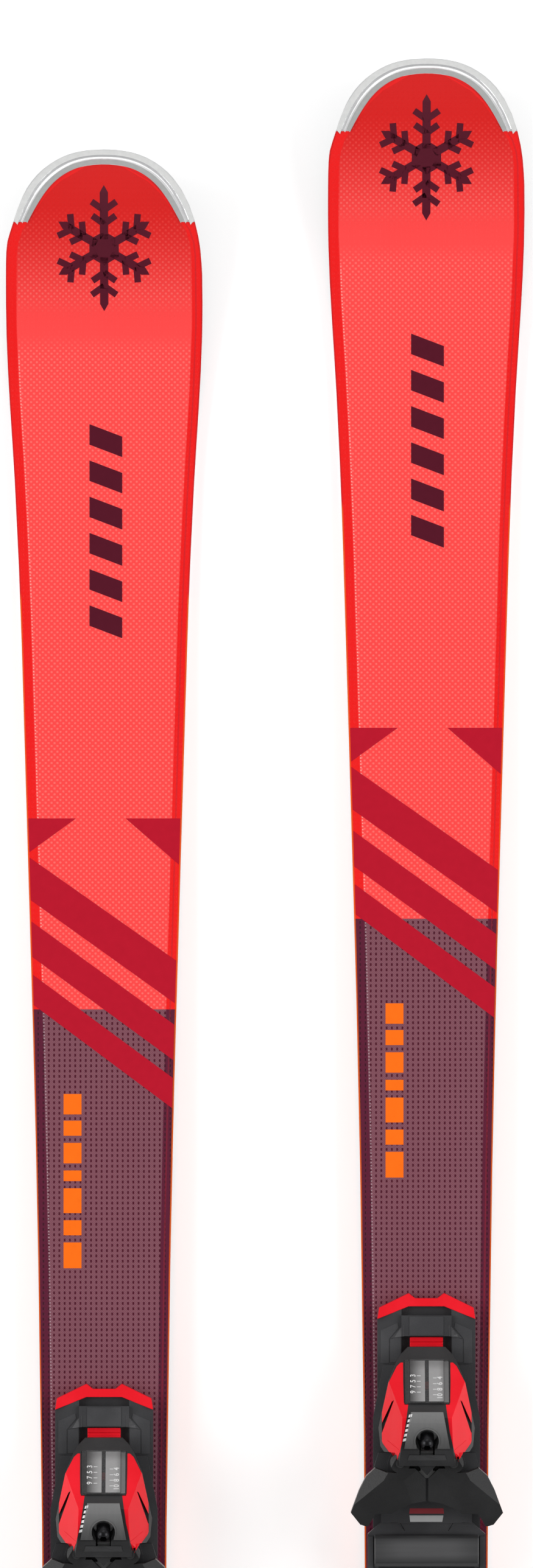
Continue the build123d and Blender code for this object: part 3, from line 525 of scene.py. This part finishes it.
def moulded(name, dark, light, rough=0.42, grain_depth=0.00005, gloss=0.3):
    """Moulded plastic with a fine spark-eroded grain, a little lighter where it is rubbed."""
    made = Finish(name, Specular_IOR_Level=gloss)
    grain = made.noise(1260, 2.0)
    rubbed = made.noise(35, 4.0)
    made.set(Base_Color=made.mix(rubbed.step(0.35, 0.75) * 0.7 + grain * 0.3, paint(*dark), paint(*light)),
             Roughness=rubbed * 0.18 + grain * 0.08 + rough - 0.1)
    made.relief(grain, grain_depth)
    return made


def soften(width, *nodes):
    """Rounds the sharp moulded edges of that node on both skis, in metres."""
    for ski in SKIS:
        for node in nodes:
            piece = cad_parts[f"{ski}_{node}"]
            weld = piece.modifiers.new("weld", "WELD")
            weld.merge_threshold = 2e-6
            edge = piece.modifiers.new("edge", "BEVEL")
            edge.width, edge.segments, edge.limit_method = width, 2, "ANGLE"
            edge.angle_limit = math.radians(32)
            edge.use_clamp_overlap = True
            piece.modifiers.new("normals", "WEIGHTED_NORMAL").keep_sharp = True


track_nylon = moulded("track nylon", (50, 50, 52), (66, 66, 68))
deck_nylon = moulded("deck plate nylon", (58, 58, 60), (76, 76, 78), 0.38)
trim_red = moulded("red moulded trim", (226, 22, 36), (242, 34, 48), 0.4, 0.00001, 0.1)
coat(track_nylon, "track", "toe_base", "heel_base")
coat(trim_red, "track_nose", "toe_latch", "toe_trims")
soften(0.0004, "track_nose", "toe_latch", "toe_trims")
soften(0.0005, "toe_base", "heel_base")


def plated(name, shapes, ski, nodes, finish, body, thick=0.00022, cell=6.0):
    """Thin plates with their own rims, laid on those nodes."""
    piece = printed(name, shapes, ski, nodes, finish, body, cell, 0.00003 + thick)
    weld = piece.modifiers.new("weld", "WELD")
    weld.merge_threshold = 1e-6
    body_of_plate = piece.modifiers.new("thickness", "SOLIDIFY")
    body_of_plate.thickness, body_of_plate.offset = thick, -1
    return piece


def both(points):
    """An outline and its mirror image on the other side of the ski's middle."""
    return [points, [(-px, py) for px, py in reversed(points)]]


zinc = Finish("zinc plated screw", Metallic=1.0)
tarnish = zinc.noise(300, 3.0)
zinc.surface(tarnish, paint(150, 150, 148), paint(196, 197, 198), tarnish, 0.2, 0.25, 0.00002)
coat(zinc, "track_screws", "heel_axle", "toe_yoke", "heel_follower")
deck = both([(14.4, 158.0), (20.4, 156.3), (20.4, 143.4), (14.4, 143.4)])
deck += both([(12.6, 164.6), (15.2, 162.2), (20.0, 157.0), (12.6, 158.2)])
deck += both([(21.0, 156.6), (21.0, 143.0), (25.8, 143.0), (25.8, 161.4), (16.2, 165.6), (15.6, 163.0)])
deck += both([(14.6, -186.0), (25.6, -186.0), (25.6, -196.4), (14.6, -196.4)])
deck += both([(14.6, -334.0), (25.6, -334.0), (25.6, -360.0), (20.0, -372.0), (14.6, -372.0)])
bridge = [[(-9.6, 158.7), (9.6, 158.7), (9.6, 169.2), (-9.6, 169.2)]]
for ski in SKIS:
    plated(f"{ski}_deck_plates", deck, ski, ["track"], deck_nylon, f"{ski}_ski")
    plated(f"{ski}_bridge_plate", bridge, ski, ["track"], deck_nylon, f"{ski}_ski", 0.0003)

# ---- Toe housings ----
# The housing is moulded over the release spring and screwed to the sliding carriage.
# It is black, with a grained grey plate round the setting screw and a beam over the wings.
HEAD_Y, HEAD_Z = 100.8, 74.0  # of the setting screw's head, in millimetres
housing_black = moulded("housing black", (24, 24, 25), (46, 46, 47), 0.4)
coat(housing_black, "toe_housing", "heel_housing")
soften(0.0004, "toe_housing", "heel_housing")
cover_grey = Finish("grey cover plate", Specular_IOR_Level=0.4)
satin = cover_grey.noise(900, 2.0, (1, 0.15, 1))
# painted light and shade: the grey plate is painted darker towards its back edge and lighter towards its front
cover_shade_ramp = cover_grey.y.step(94, 119)
cover_grey.surface(cover_shade_ramp * 0.85 + satin * 0.15, paint(58, 58, 58), paint(118, 118, 118), satin, 0.12, 0.34, 0.00003)
coat(cover_grey, "toe_cover")
soften(0.0003, "toe_cover")
visor_grey = moulded("beam grey", (42, 42, 43), (58, 58, 59), 0.36)
white_ink = ink("white ink", paint(232, 232, 232))
beam = [[(-10.8, 89.9), (10.8, 89.9), (10.0, 92.9), (-10.0, 92.9)]]
MARK_STEP, MARK_SLOPE = 2.7, 0.235
mark = ((-8.3, 116.0), (-10.1, 115.6), (-10.5, 114.0), (-8.7, 114.4))
marks_down = [k * MARK_STEP for k in range(6)]
cover_marks = [[(px - MARK_SLOPE * down, py - down) for px, py in mark] for down in marks_down]
RING_INNER, RING_OUTER, RING_STEP = 6.65, 7.35, 0.262
ring = []
for turn in (math.radians(15 * k) for k in range(-7, 7)):
    ends = ((turn, RING_INNER), (turn, RING_OUTER), (turn + RING_STEP, RING_OUTER), (turn + RING_STEP, RING_INNER))
    ring.append([(math.sin(a) * r, HEAD_Y + math.cos(a) * r) for a, r in ends])
flank = both([(17.4, 89.6), (23.6, 99.0), (22.2, 100.6), (15.0, 95.2)])
for ski in SKIS:
    toe = f"{ski}_toe"
    plated(f"{ski}_beam_strip", beam, ski, ["toe_housing"], visor_grey, toe, 0.00035)
    printed(f"{ski}_cover_marks", cover_marks, ski, ["toe_cover", "toe_housing"], white_ink, toe, 3.0)
    plated(f"{ski}_well_rim", ring, ski, ["toe_cover"], cover_grey, toe, 0.0003, 2.0)
    plated(f"{ski}_trim_points", flank, ski, ["toe_housing", "toe_trims"], trim_red, toe, 0.0003, 2.0)

# ---- Release scale under the window ----
# A clear window is snapped into the sloping front. Plain figures and ticks stand beside the slot
# in which the red nut shows the setting; the scale strips are printed on the inside.
LEAN = math.radians(42)
AXIS, OVER = Vector((0, math.cos(LEAN), -math.sin(LEAN))), Vector((0, math.sin(LEAN), math.cos(LEAN)))
FACE_OVER = 10.6  # how far the window's face is from the screw's axis, in millimetres

smoked = Finish("smoked clear window", Specular_IOR_Level=0.35, Alpha=0.42)
haze = smoked.noise(120, 2.0)
smoked.surface(haze, (0.05, 0.05, 0.052), (0.10, 0.10, 0.102), haze, 0.1, 0.06, 0.00001)
coat(smoked, "toe_window")
scale_strip = Finish("scale strip", Specular_IOR_Level=0.3)
# painted light and shade: the strips are dark at the left, lit across the middle and darker to the right and
# towards the front, standing in for a lit round barrel under the window
sheen = scale_strip.x.step(-11.5, -1.0) * (1.0 - scale_strip.x.step(6.0, 11.5) * 0.6)
sheen = sheen * (1.0 - scale_strip.y.step(139, 144) * 0.4)
speck = scale_strip.noise(700, 2.0)
scale_strip.surface(sheen * 0.9 + speck * 0.1, paint(30, 30, 31), paint(150, 150, 150), speck, 0.1, 0.3, 0.00001)
scale_white = ink("scale white", paint(214, 214, 214))


def screw_head(ski):
    ski_x, ski_y = SKIS[ski]
    return Vector((ski_x, ski_y + HEAD_Y / 1000, HEAD_Z / 1000))


def on_window(ski, x, y, over):
    """Point on the window's face, found from where it is seen from above."""
    along = (y - HEAD_Y - FACE_OVER * math.sin(LEAN)) / math.cos(LEAN)
    return screw_head(ski) + Vector((x / 1000, 0, 0)) + AXIS * along / 1000 + OVER * (FACE_OVER / 1000 + over)


def figure(ski, text, x, y, size=0.0042):
    """A plain numeral that is read from in front of the ski."""
    curve = bpy.data.curves.new(f"{ski}_figure_{text}", "FONT")
    curve.body, curve.size = text, size
    curve.align_x, curve.align_y = "CENTER", "CENTER"
    curve.offset = 0.00006
    letter = bpy.data.objects.new("letter", curve)
    bpy.context.scene.collection.objects.link(letter)
    bpy.context.view_layer.update()
    mesh = bpy.data.meshes.new_from_object(letter)
    bpy.data.objects.remove(letter)
    centre = on_window(ski, x, y, 0.00008)
    for vert in mesh.vertices:
        vert.co = centre + AXIS * vert.co.x + Vector((-1, 0, 0)) * vert.co.y
    mesh.materials.clear()
    mesh.materials.append(scale_white.material)
    piece = bpy.data.objects.new(f"{ski}_figure_{text}", mesh)
    bpy.context.scene.collection.objects.link(piece)
    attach(piece, f"{ski}_toe")


def window_patch(name, ski, x0, y0, x1, y1, finish, over):
    """A rectangle on the window's face."""
    verts = [on_window(ski, px, py, over) for px, py in ((x0, y0), (x1, y0), (x1, y1), (x0, y1))]
    add_piece(name, verts, [(0, 1, 2, 3)], finish, f"{ski}_toe", smooth=False)


STRIP_FRONT, STRIP_BACK, TICK_HALF = 145.0, 122.8, 0.16
for ski in SKIS:
    for side, sign in (("left", -1), ("right", 1)):
        for part, inner, outer, over in (("inner", 1.1, 9.45, 0.00004), ("outer", 9.6, 12.2, -0.00066)):
            x0, x1 = sorted((sign * inner, sign * outer))
            name = f"{ski}_scale_strip_{part}_{side}"
            window_patch(name, ski, x0, STRIP_BACK, x1, STRIP_FRONT, scale_strip, over)
    for text, y in (("9", 127.9), ("7", 130.9), ("5", 133.8), ("3", 136.8)):
        figure(ski, text, -7.7, y)
    for text, y in (("10", 125.6), ("8", 129.4), ("6", 132.5), ("4", 135.6)):
        figure(ski, text, 7.3, y)
    for x0, x1, ticks in ((-5.6, -3.5, (127.8, 130.7, 133.7, 136.7)), (3.4, 5.4, (126.4, 129.4, 132.4, 135.5))):
        for y in ticks:
            window_patch(f"{ski}_tick", ski, x0, y - TICK_HALF, x1, y + TICK_HALF, scale_white, 0.00009)

# ---- Release springs, setting screws and nuts ----
# Steel coil springs press the yoke and the heel's follower. The setting screw of the toe has a
# dark oxide finish and a hexagon socket; the nut on it is red, so that it shows in the window.
oiled = Finish("oiled spring steel", Metallic=1.0)
film = oiled.noise(260, 3.0)
oiled.surface(film, paint(70, 70, 74), paint(120, 120, 124), film, 0.25, 0.22, 0.00002)
coat(oiled, "toe_spring", "heel_spring")
HEEL_LEAN = math.radians(10)
HEEL_AXIS = Vector((0, -math.cos(HEEL_LEAN), math.sin(HEEL_LEAN)))
HEEL_SPRING_Y, HEEL_SPRING_Z = -0.263, 0.068  # a point of the heel spring's axis
TOE_COIL_AT, HEEL_COIL_AT = 0.0107, 0.0521  # where the coils stand, along their axes


def coil(name, foot, along, radius, wire, length, turns, body):
    """A wound spring that stands on its foot, with its ends closed."""
    across = Vector((1, 0, 0))
    third = along.cross(across)
    around, ends, steps = 10, 0.9, 36
    total = int((turns + 2 * ends) * steps)
    verts, faces = [], []
    for i in range(total + 1):
        turn = i / steps
        free = min(max(turn - ends, 0), turns)
        rise = wire + wire * 1.01 * min(turn, ends) / ends + (length - 4 * wire) * free / turns
        rise += wire * max(turn - ends - turns, 0) / ends
        angle = 2 * math.pi * turn
        out = across * math.cos(angle) + third * math.sin(angle)
        centre = foot + along * rise + out * radius
        for k in range(around):
            tilt = 2 * math.pi * k / around
            verts.append(centre + (out * math.cos(tilt) + along * math.sin(tilt)) * wire)
        if i:
            a, b = (i - 1) * around, i * around
            faces += [(a + k, a + (k + 1) % around, b + (k + 1) % around, b + k) for k in range(around)]
    faces += [tuple(range(around))[::-1], tuple(range(total * around, (total + 1) * around))]
    return add_piece(name, verts, faces, oiled, body)


for ski, (ski_x, ski_y) in SKIS.items():
    toe_foot = screw_head(ski) + AXIS * TOE_COIL_AT
    spring = coil(f"{ski}_toe_coil", toe_foot, AXIS, 0.0052, 0.00105, 0.0218, 5, f"{ski}_toe")
    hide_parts(f"{ski}_toe_spring")
    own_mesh(spring)
    heel_end = Vector((ski_x, ski_y + HEEL_SPRING_Y, HEEL_SPRING_Z)) + HEEL_AXIS * HEEL_COIL_AT
    spring = coil(f"{ski}_heel_coil", heel_end, -HEEL_AXIS, 0.0049, 0.00125, 0.0418, 8, f"{ski}_heel_cup")
    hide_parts(f"{ski}_heel_spring")
    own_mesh(spring)

oxide = Finish("black oxide screw", Metallic=0.85)
bloom = oxide.noise(380, 3.0)
oxide.surface(bloom, paint(26, 26, 28), paint(52, 52, 54), bloom, 0.2, 0.16, 0.00003)
coat(oxide, "toe_screw", "heel_screw")
phosphate = cast_alloy("phosphated wing pin", (18, 18, 19), (34, 34, 35), 0.6, 0.2, 0.00002)
coat(phosphate, "toe_pins")
nut_red = moulded("red indicator nut", (236, 40, 30), (250, 62, 44), 0.3, 0.00001, 0.4)
coat(nut_red, "toe_nut")

# ---- Toe wings ----
# The two wings are moulded of fibre-filled nylon round a steel insert. Each hooks over the toe of
# the sole; the lip is chamfered and the top has a crease from the pin to the tip.
wing_black = moulded("wing black", (17, 17, 18), (34, 34, 35), 0.4, 0.00006, 0.35)
coat(wing_black, "toe_wing_left", "toe_wing_right")
soften(0.0006, "toe_wing_left", "toe_wing_right")

# ---- Boot rests ----
# The boot's toe stands on a low-friction plate that slides sideways in the carriage. The pad in
# front of it is part of the carriage, with two seams and two plain bars printed on it.
slick = Finish("low-friction plate", Specular_IOR_Level=0.35)
lines = slick.noise(500, 2.0, (0.05, 1, 1))
# painted highlight: the plate is painted lighter in a band across it at y 39, fading towards the sides, for the
# light on its rounded top
crest_highlight = (1.0 - abs(slick.y - 39.0).step(2.0, 9.0)) * (1.0 - abs(slick.x).step(12.0, 30.0) * 0.5)
slick.surface(crest_highlight * 0.8 + lines * 0.2, paint(36, 36, 37), paint(82, 82, 83), lines, 0.15, 0.3, 0.00004)
coat(slick, "afd")
soften(0.0005, "afd")
dull_red = ink("dull red ink", paint(140, 52, 58), 0.4)
light_grey = ink("light grey ink", paint(176, 176, 176), 0.4)
seam_black = moulded("seam black", (6, 6, 6), (14, 14, 14), 0.6)
SEAM_WIDE = 0.35
red_bar = [[(-9.8, 58.8), (9.8, 58.8), (9.4, 61.8), (-9.4, 61.8)]]
grey_bar = [[(-9.2, 54.2), (8.8, 54.2), (9.4, 57.8), (-9.6, 57.8)]]
seams = [bar(-24.6, 53.6, -14.8, 53.6, SEAM_WIDE), bar(-14.8, 53.6, -12.2, 49.0, SEAM_WIDE),
         bar(14.8, 53.6, 24.6, 53.6, SEAM_WIDE), bar(14.8, 53.6, 12.2, 49.0, SEAM_WIDE)]
for ski in SKIS:
    for name, shapes, finish, slot in (
        ("bar_red", red_bar, dull_red, "trim_red"),
        ("bar_grey", grey_bar, light_grey, "afd_grey"),
        ("seams", seams, seam_black, "track_black"),
    ):
        printed(f"{ski}_pad_{name}", shapes, ski, ["toe_base"], finish, f"{ski}_toe", 5.0)

# ---- Heel pieces ----
# The heel cup swings up on its axle against the heel spring. Red trims are set into its top on
# each side of the lever, and a small scale with a slot shows the setting behind the jaw.
TICK_STEP = 3.0
cup_trims = both([(10.0, -250.0), (19.6, -247.0), (20.8, -262.0), (20.6, -296.0),
                  (16.5, -330.0), (12.6, -330.0), (13.4, -300.0), (12.6, -268.0)])
cup_plate = [[(-9.0, -238.6), (9.0, -238.6), (11.0, -252.0), (9.8, -266.0), (-9.8, -266.0), (-11.0, -252.0)]]
# painted shade: the slot is a black sheet printed on the cup, standing in for the shade inside it
cup_slot_shade = [[(-1.6, -246.0), (1.6, -246.0), (1.6, -262.0), (-1.6, -262.0)]]
cup_pointer = [[(-1.3, -252.6), (1.3, -252.6), (1.3, -254.0), (-1.3, -254.0)]]
cup_ticks = []
for k in range(5):
    y, end = -248.0 - TICK_STEP * k, 6.4 if k % 2 else 5.2
    cup_ticks += [bar(sign * 3.0, y, sign * end, y, 0.4) for sign in (-1, 1)]
for ski in SKIS:
    for name, shapes, finish, slot in (
        ("trims", cup_trims, trim_red, "trim_red"),
        ("plate", cup_plate, visor_grey, "cover_grey"),
    ):
        plated(f"{ski}_cup_{name}", shapes, ski, ["heel_housing"], finish, f"{ski}_heel_cup", 0.0004, 3.0)
    for name, shapes, finish, slot, lift in (
        # painted shade: the black slot
        ("slot", cup_slot_shade, seam_black, "housing_black", 0.00050),
        ("pointer", cup_pointer, nut_red, "indicator_red", 0.00056),
        ("ticks", cup_ticks, scale_white, "cover_grey", 0.00050),
    ):
        printed(f"{ski}_cup_{name}", shapes, ski, ["heel_housing"], finish, f"{ski}_heel_cup", 3.0, lift)

# ---- Step-out levers ----
# The lever is moulded in red, with a dished pad for the tip of the pole.
# Fine ribs across its end keep the pole from slipping.
coat(trim_red, "heel_lever")
soften(0.0006, "heel_lever")
rib_black = moulded("rib black", (22, 22, 23), (40, 40, 41), 0.5)
lever_ribs = [bar(-8.2 + 0.3 * k, -362.0 + 2.1 * k, 8.2 - 0.3 * k, -362.0 + 2.1 * k, 0.9) for k in range(3)]
# painted shade: the grooves are dark strips printed on the lever, standing in for the shade inside them
groove_shade = both([(6.2, -303.0), (8.0, -303.0), (9.4, -326.0), (7.6, -326.0)])
for ski in SKIS:
    plated(f"{ski}_lever_ribs", lever_ribs, ski, ["heel_lever"], rib_black, f"{ski}_lever", 0.00015, 2.0)
    # painted shade in the grooves
    printed(f"{ski}_lever_grooves", groove_shade, ski, ["heel_lever"], rib_black, f"{ski}_lever", 2.0)

# ---- Brakes ----
# Two bent wires of black plated steel end in moulded feet that dig into the snow. The pedal
# between them is moulded plastic with anti-slip ribs, and lies under the sole.
brake = Finish("plated wire with moulded feet")
foot = 1.0 - brake.y.step(-266.4, -266.2)
pedal = brake.y.step(-207.6, -207.4) * (1.0 - abs(brake.x).step(19.4, 19.6))
plastic = (foot + pedal).maths("MINIMUM", 1.0)
scuff = brake.noise(180, 4.0)
wire_grey = brake.mix(scuff, paint(62, 62, 66), paint(104, 104, 108))
plastic_black = brake.mix(scuff, paint(24, 24, 25), paint(44, 44, 45))
brake.set(Base_Color=brake.mix(plastic, wire_grey, plastic_black), Metallic=1.0 - plastic,
          Roughness=scuff * 0.2 + plastic * 0.18 + 0.2)
brake.relief(scuff, 0.00003)
coat(brake, "brake")
pedal_ribs = [bar(-15.0, -202.0 + 5.2 * k, 15.0, -202.0 + 5.2 * k, 1.6) for k in range(8)]
for ski in SKIS:
    plated(f"{ski}_pedal_ribs", pedal_ribs, ski, ["brake"], rib_black, f"{ski}_brake_arms", 0.0004, 5.0)
